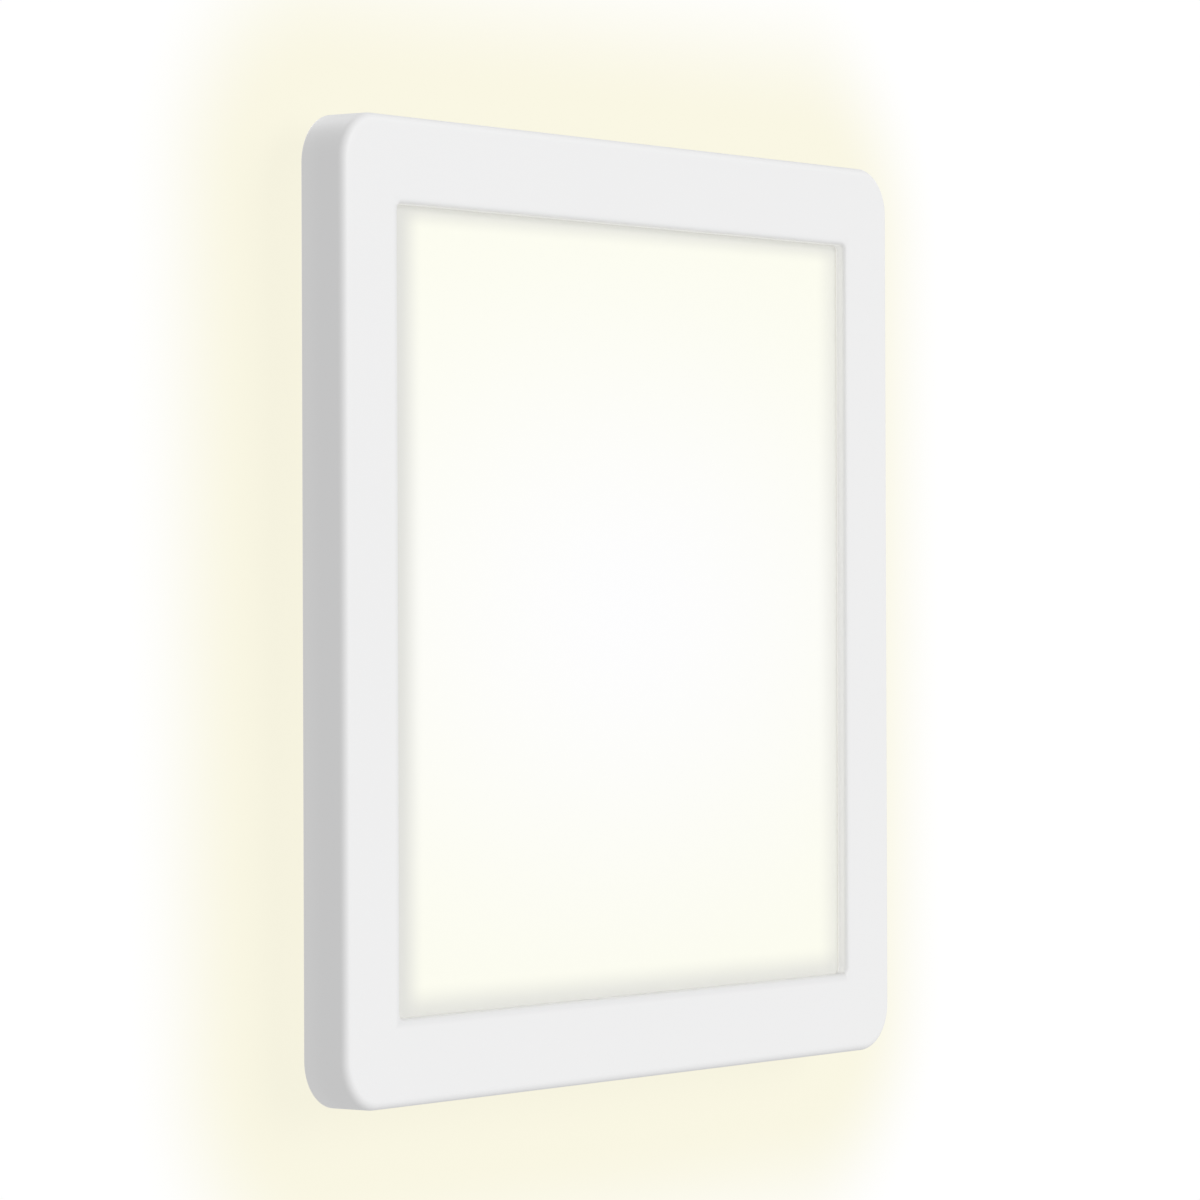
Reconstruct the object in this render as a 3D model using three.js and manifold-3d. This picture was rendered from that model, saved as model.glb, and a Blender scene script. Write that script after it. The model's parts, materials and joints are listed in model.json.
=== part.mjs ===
// A square surface-mounted LED panel light with a halo backlight, held to a wall or ceiling by a
// twist-lock plate.
//
// Everything is drawn in the panel's own frame, in millimetres: x to the right, y up, and z out of the
// wall towards the room, with the wall at z = 0. The exported group stands that frame upright, so that
// +Z is up and the lit face looks along -Y. The origin is where the panel's centre line meets the wall.

import * as THREE from 'three';
import { mergeVertices } from 'three/addons/utils/BufferGeometryUtils.js';
import Module from 'manifold-3d';

const wasm = await Module();
wasm.setup();

// ---------------------------------------------------------------- driving dimensions

const SIDE = 293; // outside of the front frame
const DEPTH = 28; // wall to front face
const RIM_DEPTH = 16; // visible side of the front frame
const CORNER_R = 15; // outer corners, seen from the front
const EDGE_R = 2.5; // round between the rim and the front face
const BORDER = 26; // front frame, outside to window
const WINDOW_R = 2;
const RECESS = 3.4; // front face to diffuser
const FRAME_WALL = 2.2;
const LIP_WALL = 2;
const GAP = 0.3; // between pieces that touch

const DIFFUSER_T = 2;
const GUIDE_T = 4;
const REFLECTOR_T = 0.5;
const SPACER_T = 1.8;
const PAN_T = 1;
const BOARD_T = 1;
const COVER_T = 2;
const OPAL_T = 2;
const PLATE_T = 1.2;

const GUIDE_SIDE = 245;
const DIFFUSER_SIDE = 249;
const SPACER_SIDE = 196;
const PAN_SIDE = 284;
const HALO_SIDE = 250; // outside of the opal ring
const HALO_INNER = 210; // edge of the opal ring's back wall
const COVER_SIDE = 230;
const STRIP_LENGTH = 236; // main LED strips, on edge round the light guide
const HALO_STRIP_LENGTH = 190; // backlight LED strips, facing the wall
const HALO_STRIP_WIDTH = 10;
const HALO_STRIP_AT = 116; // centre line of a backlight strip

const PLATE_R = 61.7;
const PLATE_HOLE_R = 36;
const COVER_HOLE_R = 62;
const BAY_R = 70; // inside of the wall round the terminal bay
const LIP_R = 67.5;
const LIP_INNER_R = 58.8;
const LIP_T = 1.2;
const LIP_HALF_DEG = 7;
const NOTCH_HALF_DEG = 9;
const UNLOCK_DEG = 20; // turn that brings the notches over the lips
const SLOT_AT = 47; // wall screw slots, from the centre
const SLOT_R = 2.6;
const SLOT_STRAIGHT = 9;

const FRAME_SCREW_AT = 135;
const COVER_SCREW_AT = 104;
const COVER_SCREW_MID = 86;
const PILOT_R = 1.7;
const SHANK_R = 1.35;
const LEAD_R = 0.9;

// ---------------------------------------------------------------- places worked out from them

const RIM_BACK = DEPTH - RIM_DEPTH;
const FRONT_INNER = DEPTH - FRAME_WALL - 0.2; // inside of the front wall
const LIP_BACK = DEPTH - RECESS;
const DIFFUSER_FRONT = LIP_BACK - GAP;
const DIFFUSER_BACK = DIFFUSER_FRONT - DIFFUSER_T;
const GUIDE_FRONT = DIFFUSER_BACK - 0.4;
const GUIDE_BACK = GUIDE_FRONT - GUIDE_T;
const REFLECTOR_FRONT = GUIDE_BACK - GAP;
const REFLECTOR_BACK = REFLECTOR_FRONT - REFLECTOR_T;
const SPACER_FRONT = REFLECTOR_BACK - GAP;
const SPACER_BACK = SPACER_FRONT - SPACER_T;
const PAN_FRONT = SPACER_BACK - 0.4;
const PAN_BACK = PAN_FRONT - PAN_T;
const INNER_FRONT = PAN_BACK - GAP; // deepest that a piece behind the pan reaches
const COVER_BACK = 1.5;
const COVER_FRONT = COVER_BACK + COVER_T;
const OPAL_BACK = COVER_FRONT + GAP;
const LIP_Z = COVER_FRONT + GAP; // underside of the twist-lock lips
const WINDOW = SIDE - 2 * BORDER;
const GUIDE_HALF = GUIDE_SIDE / 2;
const STRIP_FACE = GUIDE_HALF + 1.5; // board face that carries the LEDs
const FLANGE_FACE = STRIP_FACE + BOARD_T + GAP;
const STRIP_BACK = PAN_FRONT + 0.9;

const degrees = (d) => THREE.MathUtils.degToRad(d);
const SIGNS = [[1, 1], [-1, 1], [-1, -1], [1, -1]];
const QUARTERS = [0, 90, 180, 270];
const LIP_ANGLES = [45, 135, 225, 315];

// ---------------------------------------------------------------- materials

const material = (color, roughness, metalness = 0) =>
  new THREE.MeshStandardMaterial({ color, roughness, metalness });

const whitePlastic = material(0xf0f0ef, 0.42);
const opalWindow = material(0xfffdf0, 0.35);
const opalRing = material(0xfbf6e4, 0.4);
const clearAcrylic = material(0xf4fafa, 0.08);
const reflectorFilm = material(0xf8f8f6, 0.3);
const foamedPlastic = material(0xdfe0de, 0.8);
const whiteSteel = material(0xe8e8e6, 0.45, 0.3);
const zincSteel = material(0xb9bcc0, 0.38, 0.9);
const screwSteel = material(0xc4c6c9, 0.3, 1);
const whiteBoard = material(0xeff1ee, 0.4);
const greenBoard = material(0x2f6b45, 0.45);
const blackPlastic = material(0x2a2b2d, 0.5);
const greyPlastic = material(0xc9cccd, 0.4);
const orangePlastic = material(0xe2762b, 0.4);
const brass = material(0xc9a24f, 0.35, 0.9);
const greyRubber = material(0x8f9294, 0.85);
const brownPvc = material(0x6b4226, 0.5);
const bluePvc = material(0x2f62a8, 0.5);
const greenPvc = material(0x6f9b3a, 0.5);
const redPvc = material(0xb5322c, 0.5);
const darkPvc = material(0x2c2c2e, 0.5);
const whitePvc = material(0xe9e9e6, 0.5);

// ---------------------------------------------------------------- solids

// A closed three.js geometry as a manifold-3d solid, with its shared corners merged.
function solid(geometry) {
  const bare = geometry.index ? geometry.toNonIndexed() : geometry.clone();
  bare.deleteAttribute('normal');
  bare.deleteAttribute('uv');
  const merged = mergeVertices(bare, 1e-3);
  const vertProperties = merged.attributes.position.array;
  const triVerts = new Uint32Array(merged.index.array);
  return new wasm.Manifold(new wasm.Mesh({ numProp: 3, vertProperties, triVerts }));
}

// A manifold-3d solid as a flat-shaded three.js geometry.
function geometryOf(shape) {
  const { vertProperties, triVerts, numProp, numVert } = shape.getMesh();
  const points = new Float32Array(numVert * 3);
  for (let i = 0; i < numVert; i++) {
    points.set(vertProperties.subarray(i * numProp, i * numProp + 3), i * 3);
  }
  const indexed = new THREE.BufferGeometry();
  indexed.setAttribute('position', new THREE.BufferAttribute(points, 3));
  indexed.setIndex(new THREE.BufferAttribute(triVerts, 1));
  const flat = indexed.toNonIndexed();
  flat.computeVertexNormals();
  return flat;
}

const join = (first, ...others) => others.reduce((made, other) => made.add(other), first);
const cut = (first, ...others) => others.reduce((made, other) => made.subtract(other), first);

// An outline extruded from z0 to z1. arcSteps is half the number of sides in each arc.
function slab(outline, z0, z1, arcSteps = 3) {
  const options = { depth: z1 - z0, bevelEnabled: false, curveSegments: arcSteps };
  return solid(new THREE.ExtrudeGeometry(outline, options).translate(0, 0, z0));
}

function box(x0, x1, y0, y1, z0, z1) {
  const geometry = new THREE.BoxGeometry(x1 - x0, y1 - y0, z1 - z0);
  return solid(geometry.translate((x0 + x1) / 2, (y0 + y1) / 2, (z0 + z1) / 2));
}

// A cylinder that stands on z0 and ends at z1.
function post(x, y, radius, z0, z1, sides = 12) {
  const geometry = new THREE.CylinderGeometry(radius, radius, z1 - z0, sides);
  return solid(geometry.rotateX(Math.PI / 2).translate(x, y, (z0 + z1) / 2));
}

function roundedSquare(side, radius) {
  const c = side / 2 - radius;
  const outline = new THREE.Shape();
  outline.absarc(c, -c, radius, -Math.PI / 2, 0);
  outline.absarc(c, c, radius, 0, Math.PI / 2);
  outline.absarc(-c, c, radius, Math.PI / 2, Math.PI);
  outline.absarc(-c, -c, radius, Math.PI, 1.5 * Math.PI);
  outline.closePath();
  return outline;
}

// The part of a flat ring between two angles, in degrees.
function ringSector(inner, outer, from, to) {
  const outline = new THREE.Shape();
  outline.absarc(0, 0, outer, degrees(from), degrees(to), false);
  outline.absarc(0, 0, inner, degrees(to), degrees(from), true);
  outline.closePath();
  return outline;
}

// A slot with round ends on the given angle, running along the radius.
function radialSlot(angle, z0, z1) {
  const half = SLOT_STRAIGHT / 2;
  const outline = new THREE.Shape();
  outline.absarc(SLOT_AT + half, 0, SLOT_R, -Math.PI / 2, Math.PI / 2);
  outline.absarc(SLOT_AT - half, 0, SLOT_R, Math.PI / 2, 1.5 * Math.PI);
  outline.closePath();
  return slab(outline, z0, z1, 6).rotate([0, 0, angle]);
}

// A round tube along a smooth curve through the points.
function lead(points, radius = LEAD_R, stepLength = 5) {
  const path = new THREE.CatmullRomCurve3(points.map((p) => new THREE.Vector3(...p)));
  const steps = Math.max(3, Math.round(path.getLength() / stepLength));
  const section = new THREE.Shape();
  section.absarc(0, 0, radius, 0, 2 * Math.PI);
  const options = { steps, curveSegments: 4, extrudePath: path, bevelEnabled: false };
  return solid(new THREE.ExtrudeGeometry(section, options));
}

// ---------------------------------------------------------------- scene graph

const panelFrame = new THREE.Group();
panelFrame.rotation.x = Math.PI / 2;

// Adds one named sub-part, with its shape drawn round its own place.
function add(name, finish, shape, [x, y, z] = [0, 0, 0], turnDeg = 0) {
  const mesh = new THREE.Mesh(geometryOf(shape), finish);
  mesh.name = name;
  mesh.position.set(x, y, z);
  mesh.rotation.z = degrees(turnDeg);
  panelFrame.add(mesh);
}

// ---------------------------------------------------------------- wall plate

function wallPlate() {
  const ring = new THREE.Shape();
  ring.absarc(0, 0, PLATE_R, 0, 2 * Math.PI);
  const opening = new THREE.Path();
  opening.absarc(0, 0, PLATE_HOLE_R, 0, 2 * Math.PI, true);
  ring.holes.push(opening);
  let plate = slab(ring, 0, PLATE_T, 48);
  for (const angle of LIP_ANGLES) {
    const [from, to] = [angle - LIP_HALF_DEG, angle + LIP_HALF_DEG];
    const web = ringSector(LIP_INNER_R, LIP_INNER_R + LIP_T, from, to);
    const lip = ringSector(LIP_INNER_R, LIP_R, from, to);
    plate = join(plate, slab(web, PLATE_T / 2, LIP_Z + LIP_T / 2), slab(lip, LIP_Z, LIP_Z + LIP_T));
  }
  return cut(plate, ...QUARTERS.map((angle) => radialSlot(angle, -1, PLATE_T + 1)));
}

add('wall_plate', zincSteel, wallPlate());

// ---------------------------------------------------------------- front frame

const frameScrews = [
  ...SIGNS.map(([sx, sy]) => [sx * FRAME_SCREW_AT, sy * FRAME_SCREW_AT]),
  [0, FRAME_SCREW_AT], [-FRAME_SCREW_AT, 0], [0, -FRAME_SCREW_AT], [FRAME_SCREW_AT, 0],
];

// The outside is extruded with a round on both ends, and the back round is cut away.
function frameOutside() {
  const geometry = new THREE.ExtrudeGeometry(roundedSquare(SIDE, CORNER_R), {
    depth: RIM_DEPTH,
    curveSegments: 4,
    bevelThickness: EDGE_R,
    bevelSize: EDGE_R,
    bevelOffset: -EDGE_R,
    bevelSegments: 3,
  });
  const outside = solid(geometry.translate(0, 0, DEPTH - EDGE_R - RIM_DEPTH));
  return cut(outside, box(-SIDE, SIDE, -SIDE, SIDE, 0, RIM_BACK));
}

// A screw boss with a rib on each side that ties it to the frame wall.
function frameBoss([x, y]) {
  const wall = SIDE / 2 - FRAME_WALL / 2;
  const foot = PAN_FRONT + GAP;
  const parts = [post(x, y, 4, foot, FRONT_INNER + 0.5)];
  if (x) {
    const [x0, x1] = x > 0 ? [x, wall] : [-wall, x];
    parts.push(box(x0, x1, y - 0.8, y + 0.8, foot + 2, FRONT_INNER + 0.5));
  }
  if (y) {
    const [y0, y1] = y > 0 ? [y, wall] : [-wall, y];
    parts.push(box(x - 0.8, x + 0.8, y0, y1, foot + 2, FRONT_INNER + 0.5));
  }
  return join(...parts);
}

// A short rib inside the front wall that keeps one edge of the diffuser in its place.
function diffuserRib(along) {
  const inner = DIFFUSER_SIDE / 2 + GAP;
  return box(inner, inner + 1.4, along - 6, along + 6, DIFFUSER_BACK + 0.2, FRONT_INNER + 0.5);
}

function frontFrame() {
  const pocket = roundedSquare(SIDE - 2 * FRAME_WALL, CORNER_R - FRAME_WALL);
  const lipOutline = roundedSquare(WINDOW + 2 * LIP_WALL, WINDOW_R + LIP_WALL);
  const shell = cut(frameOutside(), slab(pocket, RIM_BACK - 1, FRONT_INNER));
  const lip = slab(lipOutline, LIP_BACK, FRONT_INNER + 1);
  const ribs = QUARTERS.flatMap((angle) => [-70, 70].map((at) => diffuserRib(at).rotate([0, 0, angle])));
  const window = slab(roundedSquare(WINDOW, WINDOW_R), RIM_BACK, DEPTH + 1);
  const made = cut(join(shell, lip, ...ribs, ...frameScrews.map(frameBoss)), window);
  const pilots = frameScrews.map(([x, y]) => post(x, y, PILOT_R, RIM_BACK, FRONT_INNER - 2, 8));
  return cut(made, ...pilots);
}

add('front_frame', whitePlastic, frontFrame());

// ---------------------------------------------------------------- light stack behind the window

const stack = [
  ['window_diffuser', opalWindow, DIFFUSER_SIDE, DIFFUSER_BACK, DIFFUSER_FRONT],
  ['light_guide', clearAcrylic, GUIDE_SIDE, GUIDE_BACK, GUIDE_FRONT],
  ['reflector_sheet', reflectorFilm, GUIDE_SIDE, REFLECTOR_BACK, REFLECTOR_FRONT],
  ['spacer_sheet', foamedPlastic, SPACER_SIDE, SPACER_BACK, SPACER_FRONT],
];
for (const [name, finish, side, back, front] of stack) {
  add(name, finish, slab(roundedSquare(side, 2), back, front, 1));
}

// An LED strip lying along x: a board from z0 with its LED packages on the far side.
function ledBoard(length, width, count, pitch, ledLength, ledWidth, ledHeight, ledOffset) {
  const parts = [box(-length / 2, length / 2, -width / 2, width / 2, 0, BOARD_T)];
  for (let i = 0; i < count; i++) {
    const x = (i - (count - 1) / 2) * pitch;
    const [y0, y1] = [ledOffset - ledWidth / 2, ledOffset + ledWidth / 2];
    parts.push(box(x - ledLength / 2, x + ledLength / 2, y0, y1, BOARD_T / 2, BOARD_T + ledHeight));
  }
  return join(...parts);
}

const SIDE_NAMES = ['right', 'top', 'left', 'bottom'];
const STRIP_WIDTH = GUIDE_FRONT - STRIP_BACK;
const GUIDE_MIDDLE = (GUIDE_FRONT + GUIDE_BACK) / 2;

// A main strip stands on edge outside the light guide, and its LEDs face the guide's edge.
function mainStrip() {
  const ledOffset = GUIDE_MIDDLE - (STRIP_BACK + GUIDE_FRONT) / 2;
  const flat = ledBoard(STRIP_LENGTH, STRIP_WIDTH, 14, 16, 4, 2.2, 0.9, ledOffset);
  const standing = flat.rotate([90, 0, 0]).rotate([0, 0, -90]);
  return standing.translate([STRIP_FACE + BOARD_T, 0, (STRIP_BACK + GUIDE_FRONT) / 2]);
}

// A backlight strip lies on the back of the pan, and its LEDs face the wall.
function haloStrip() {
  const flat = ledBoard(HALO_STRIP_LENGTH, HALO_STRIP_WIDTH, 10, 18, 3.5, 2.8, 0.8, 0);
  return flat.rotate([180, 0, 90]).translate([HALO_STRIP_AT, 0, INNER_FRONT]);
}

SIDE_NAMES.forEach((side, i) => {
  add('main_led_strip_' + side, whiteBoard, mainStrip(), [0, 0, 0], 90 * i);
  add('halo_led_strip_' + side, whiteBoard, haloStrip(), [0, 0, 0], 90 * i);
});

// ---------------------------------------------------------------- chassis pan

const coverScrews = [
  ...SIGNS.map(([sx, sy]) => [sx * COVER_SCREW_AT, sy * COVER_SCREW_AT]),
  [COVER_SCREW_MID, 0], [-COVER_SCREW_MID, 0],
];
const EARTH_AT = [28, -24];
const MAIN_LEAD_HOLE = [-61, -107];
const BOSS_FRONT = COVER_FRONT + 2.7; // where the rear cover's screw bosses end

function chassisPan() {
  const sheet = slab(roundedSquare(PAN_SIDE, 11), PAN_BACK, PAN_FRONT);
  const [inner, outer] = [FLANGE_FACE, FLANGE_FACE + PAN_T];
  const half = STRIP_LENGTH / 2;
  const flange = box(inner, outer, -half, half, PAN_FRONT - PAN_T / 2, GUIDE_FRONT);
  const flanges = QUARTERS.map((angle) => flange.rotate([0, 0, angle]));
  const posts = coverScrews.map(([x, y]) => post(x, y, 4, BOSS_FRONT + GAP, PAN_BACK + PAN_T / 2));
  const pilots = coverScrews.map(([x, y]) => post(x, y, PILOT_R, 0, PAN_FRONT + 1, 8));
  const clearances = frameScrews.map(([x, y]) => post(x, y, PILOT_R, 0, PAN_FRONT + 1, 8));
  const earthHole = post(...EARTH_AT, 2.3, 0, PAN_FRONT + 1, 10);
  const leadHole = post(...MAIN_LEAD_HOLE, 3, 0, PAN_FRONT + 1, 12);
  return cut(join(sheet, ...flanges, ...posts), ...pilots, ...clearances, earthHole, leadHole);
}

add('chassis_pan', whiteSteel, chassisPan());

// ---------------------------------------------------------------- backlight ring and rear cover

function haloRing() {
  const outside = slab(roundedSquare(HALO_SIDE, 12), OPAL_BACK, INNER_FRONT);
  const hollow = slab(roundedSquare(HALO_SIDE - 2 * OPAL_T, 10), OPAL_BACK + OPAL_T, INNER_FRONT + 1);
  const opening = slab(roundedSquare(HALO_INNER, 8), 0, INNER_FRONT);
  const bossHoles = SIGNS.map(([sx, sy]) =>
    post(sx * COVER_SCREW_AT, sy * COVER_SCREW_AT, 6.5, 0, OPAL_BACK + OPAL_T + 1),
  );
  return cut(outside, hollow, opening, ...bossHoles);
}

add('halo_diffuser', opalRing, haloRing());

const STOP_TALL = 1.7;

// The notches and stops of the twist lock, in the cover's frame, with the lips locked. The cover turns
// anticlockwise to unlock, so a lip moves clockwise in it, from the first stop to the second.
function twistLock(cover, angle) {
  const notchMiddle = angle - UNLOCK_DEG;
  const [from, to] = [notchMiddle - NOTCH_HALF_DEG, notchMiddle + NOTCH_HALF_DEG];
  const notch = slab(ringSector(COVER_HOLE_R - 2, LIP_R + 1.5, from, to), 0, COVER_FRONT + 0.2);
  const lockedStop = ringSector(COVER_HOLE_R + 0.4, BAY_R + 1, angle + 8, angle + 10.5);
  const freeStop = ringSector(COVER_HOLE_R + 0.4, BAY_R + 1, from - 2.5, from - 0.2);
  const stops = [lockedStop, freeStop].map((stop) => slab(stop, COVER_FRONT - 1, COVER_FRONT + STOP_TALL));
  return join(cut(cover, notch), ...stops);
}

function rearCover() {
  const sheet = slab(roundedSquare(COVER_SIDE, 10), COVER_BACK, COVER_FRONT);
  const bayWall = new THREE.Shape();
  bayWall.absarc(0, 0, BAY_R + COVER_T, 0, 2 * Math.PI);
  const bay = new THREE.Path();
  bay.absarc(0, 0, BAY_R, 0, 2 * Math.PI, true);
  bayWall.holes.push(bay);
  const bosses = coverScrews.map(([x, y]) => post(x, y, 6, COVER_FRONT - 1, BOSS_FRONT));
  const rib = box(BAY_R + 1, 142, -0.8, 0.8, COVER_FRONT - 1, COVER_FRONT + 2.5);
  const ribs = LIP_ANGLES.map((angle) => rib.rotate([0, 0, angle]));
  const shell = join(sheet, slab(bayWall, COVER_FRONT - 1, INNER_FRONT, 36), ...bosses, ...ribs);
  const heads = coverScrews.map(([x, y]) => post(x, y, 3.8, 0, COVER_FRONT + 0.7));
  const shanks = coverScrews.map(([x, y]) => post(x, y, PILOT_R, 0, INNER_FRONT, 8));
  const opening = post(0, 0, COVER_HOLE_R, 0, COVER_FRONT + 0.2, 96);
  const leadSlot = box(-14, 14, -BAY_R - 4, -BAY_R + 4, 7.2, INNER_FRONT + 1);
  return LIP_ANGLES.reduce(twistLock, cut(shell, opening, ...heads, ...shanks, leadSlot));
}

add('rear_cover', whitePlastic, rearCover());

const PAD_AT = 100;
QUARTERS.forEach((angle, i) => {
  const place = [PAD_AT * Math.cos(degrees(angle)), PAD_AT * Math.sin(degrees(angle)), 0];
  add('wall_pad_' + SIDE_NAMES[i], greyRubber, post(0, 0, 6, 0.1, COVER_BACK - GAP, 32), place);
});

// ---------------------------------------------------------------- screws

// A pan-head screw with a cross recess. The head starts at z = 0 and the shank runs up from it.
function panHeadScrew(headRadius, headTall, shankLength) {
  const floor = headTall - 0.5;
  const cross = [box(-1.8, 1.8, -0.35, 0.35, -1, floor), box(-0.35, 0.35, -1.8, 1.8, -1, floor)];
  const head = cut(post(0, 0, headRadius, 0, headTall), ...cross);
  return join(head, post(0, 0, SHANK_R, headTall / 2, headTall + shankLength, 8));
}

const FRAME_HEAD_TALL = 1.4;
frameScrews.forEach(([x, y], i) => {
  const place = [x, y, PAN_BACK - GAP - FRAME_HEAD_TALL + 0.2];
  add('frame_screw_' + (i + 1), screwSteel, panHeadScrew(3, FRAME_HEAD_TALL, 8), place);
});

const COVER_HEAD_TALL = 1.8;
coverScrews.forEach(([x, y], i) => {
  const place = [x, y, COVER_FRONT + 0.7 - GAP - COVER_HEAD_TALL];
  add('cover_screw_' + (i + 1), screwSteel, panHeadScrew(3, COVER_HEAD_TALL, 8), place);
});

// ---------------------------------------------------------------- driver

const DRIVER = { x: 46, y0: -103.8, y1: -74.4, back: 5.6 };
const DRIVER_BOARD_Z = INNER_FRONT - 2.7;

function driverTray() {
  const { x, y0, y1, back } = DRIVER;
  const outside = box(-x, x, y0, y1, back, INNER_FRONT);
  const inside = box(-x + 1.2, x - 1.2, y0 + 1.2, y1 - 1.2, back - 1, INNER_FRONT - 1.2);
  const supplyNotch = box(-14, 14, y1 - 2, y1 + 1, back - 1, DRIVER_BOARD_Z);
  const outputNotch = box(-x - 1, x + 1, -99, -91, back - 1, DRIVER_BOARD_Z);
  return cut(outside, inside, supplyNotch, outputNotch);
}

// Low components on a board: transformer, coil, capacitors, bridge and the two connectors.
function driverBoard() {
  const { x, y0, y1 } = DRIVER;
  const top = DRIVER_BOARD_Z + 0.2;
  const parts = [
    box(-x + 1.6, x - 1.6, y0 + 1.6, y1 - 1.6, DRIVER_BOARD_Z, DRIVER_BOARD_Z + BOARD_T),
    box(-10, 6, -100, -86, DRIVER_BOARD_Z - 3.8, top),
    box(10, 20, -101, -91, DRIVER_BOARD_Z - 3, top),
    box(24, 30, -86, -80, DRIVER_BOARD_Z - 2.2, top),
    box(-24, -16, -101, -89, DRIVER_BOARD_Z - 3.2, top),
    post(-28, -85, 4, DRIVER_BOARD_Z - 3.6, top, 12),
    post(27, -97, 3.2, DRIVER_BOARD_Z - 3.6, top, 12),
  ];
  return join(...parts);
}

function driverLid() {
  const { x, y0, y1, back } = DRIVER;
  const vents = [-20, -10, 0, 10, 20].map((at) => box(at - 1, at + 1, -98, -80, 0, back));
  return cut(box(-x, x, y0, y1, back - GAP - 1.2, back - GAP), ...vents);
}

add('driver_tray', blackPlastic, driverTray());
add('driver_board', greenBoard, driverBoard());
add('driver_lid', blackPlastic, driverLid());

// ---------------------------------------------------------------- terminal block

const POLES = [-8, 0, 8]; // live, neutral, earth
const POLE_NAMES = ['live', 'neutral', 'earth'];
const BLOCK = { x: 13, y0: -2, y1: 18, back: 4.8 };
const LEVER = { y: 13.6, z: 7, barrel: 1.7, halfWide: 2.4, tip: 0.4, thick: 1.8 };
const WIRE_Z = 10.6;

function terminalBlock() {
  const { x, y0, y1, back } = BLOCK;
  const cuts = POLES.flatMap((pole) => [
    box(pole - 2.8, pole + 2.8, y0 + 1.2, y1 - 1.4, back - 1, LEVER.z + 2),
    solid(new THREE.CylinderGeometry(1.9, 1.9, 14, 12).translate(pole, y1 - 6, WIRE_Z)),
    solid(new THREE.CylinderGeometry(1.4, 1.4, 8, 12).translate(pole, y0 + 3.6, WIRE_Z)),
  ]);
  return cut(box(-x, x, y0, y1, back, INNER_FRONT), ...cuts);
}

// A clamp lever in its closed place: a round barrel with a flat arm that hangs down from it.
function clampLever() {
  const { barrel, halfWide, tip, y, thick } = LEVER;
  const roller = new THREE.CylinderGeometry(barrel, barrel, 2 * halfWide, 16).rotateZ(Math.PI / 2);
  const arm = box(-halfWide, halfWide, tip - y, 0, -thick, 0);
  const nib = box(-halfWide, halfWide, tip - y, tip - y + 1.2, -thick - 0.4, 0);
  return join(solid(roller), arm, nib);
}

add('terminal_block', greyPlastic, terminalBlock());
POLES.forEach((pole, i) => {
  add('clamp_lever_' + POLE_NAMES[i], orangePlastic, clampLever(), [pole, LEVER.y, LEVER.z]);
  const bar = box(pole - 0.9, pole + 0.9, 5.4, 12.4, WIRE_Z + 0.5, WIRE_Z + 1.1);
  add('terminal_contact_' + POLE_NAMES[i], brass, bar);
});

// ---------------------------------------------------------------- earth point

function earthTag() {
  const [x, y] = EARTH_AT;
  const eye = post(x, y, 4.2, PAN_BACK - GAP - 0.8, PAN_BACK - GAP, 16);
  const tail = box(x - 11, x, y - 1.6, y + 1.6, PAN_BACK - GAP - 0.8, PAN_BACK - GAP);
  return cut(join(eye, tail), post(x, y, 2.3, 0, DEPTH, 12));
}

add('earth_tag', brass, earthTag());
const earthScrew = join(
  cut(post(0, 0, 3.6, 0, 2), box(-2.2, 2.2, -0.4, 0.4, -1, 0.8)),
  post(0, 0, 1.9, 1, 4.2, 10),
);
add('earth_screw', brass, earthScrew, [...EARTH_AT, PAN_BACK - 2 * GAP - 0.8 - 2]);

// ---------------------------------------------------------------- leads

const INTO_BOARD = DRIVER_BOARD_Z - GAP - LEAD_R;
const TO_CONTACT = 5;
const supplyRoute = (side) => [
  [side * 4, -40, WIRE_Z + 0.6],
  [side * 5, -62, WIRE_Z - 0.6],
  [side * 7, -78, INTO_BOARD - 0.6],
  [side * 7.4, -82, INTO_BOARD],
];
const HALO_PAD_Z = INNER_FRONT - BOARD_T - GAP - LEAD_R;
const EDGE_PAD = STRIP_FACE - GAP - LEAD_R;
const UNDER_GUIDE = PAN_FRONT + GAP + LEAD_R;

add('lead_live', brownPvc, lead([
  [-8, TO_CONTACT, WIRE_Z],
  [-8, -4, WIRE_Z],
  [-7.5, -16, WIRE_Z + 0.4],
  ...supplyRoute(-1),
]));
add('lead_neutral', bluePvc, lead([
  [0, TO_CONTACT, WIRE_Z],
  [0, -4, WIRE_Z],
  [5, -16, WIRE_Z + 0.4],
  ...supplyRoute(1),
]));
add('lead_earth', greenPvc, lead([
  [8, TO_CONTACT, WIRE_Z],
  [8, -4, WIRE_Z],
  [9.5, -13, WIRE_Z - 0.5],
  [12, -20, WIRE_Z + 0.2],
  [16.6, EARTH_AT[1], PAN_BACK - GAP - 0.8 - GAP - LEAD_R],
  [20, EARTH_AT[1], PAN_BACK - GAP - 0.8 - GAP - LEAD_R],
], LEAD_R, 4));
add('lead_main_strips', whitePvc, lead([
  [-40, -95, INTO_BOARD],
  [-50, -96, INTO_BOARD],
  [-58, -101, INTO_BOARD],
  [-61, -106, INTO_BOARD + 3],
  [-61, -108, UNDER_GUIDE - 1],
  [-61, -112, UNDER_GUIDE],
  [-61, -STRIP_FACE + 0.4, UNDER_GUIDE],
], LEAD_R, 3.5));
add('lead_halo_plus', redPvc, lead([
  [40, -94, INTO_BOARD],
  [56, -95.5, INTO_BOARD],
  [76, -103, INTO_BOARD + 0.6],
  [91, -114, HALO_PAD_Z],
]));
add('lead_halo_minus', darkPvc, lead([
  [40, -97, INTO_BOARD - 2.2],
  [56, -98.5, INTO_BOARD - 2.2],
  [84, -99, INTO_BOARD - 2.2],
  [102, -97, INTO_BOARD - 1],
  [114, -91, HALO_PAD_Z],
]));

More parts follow.
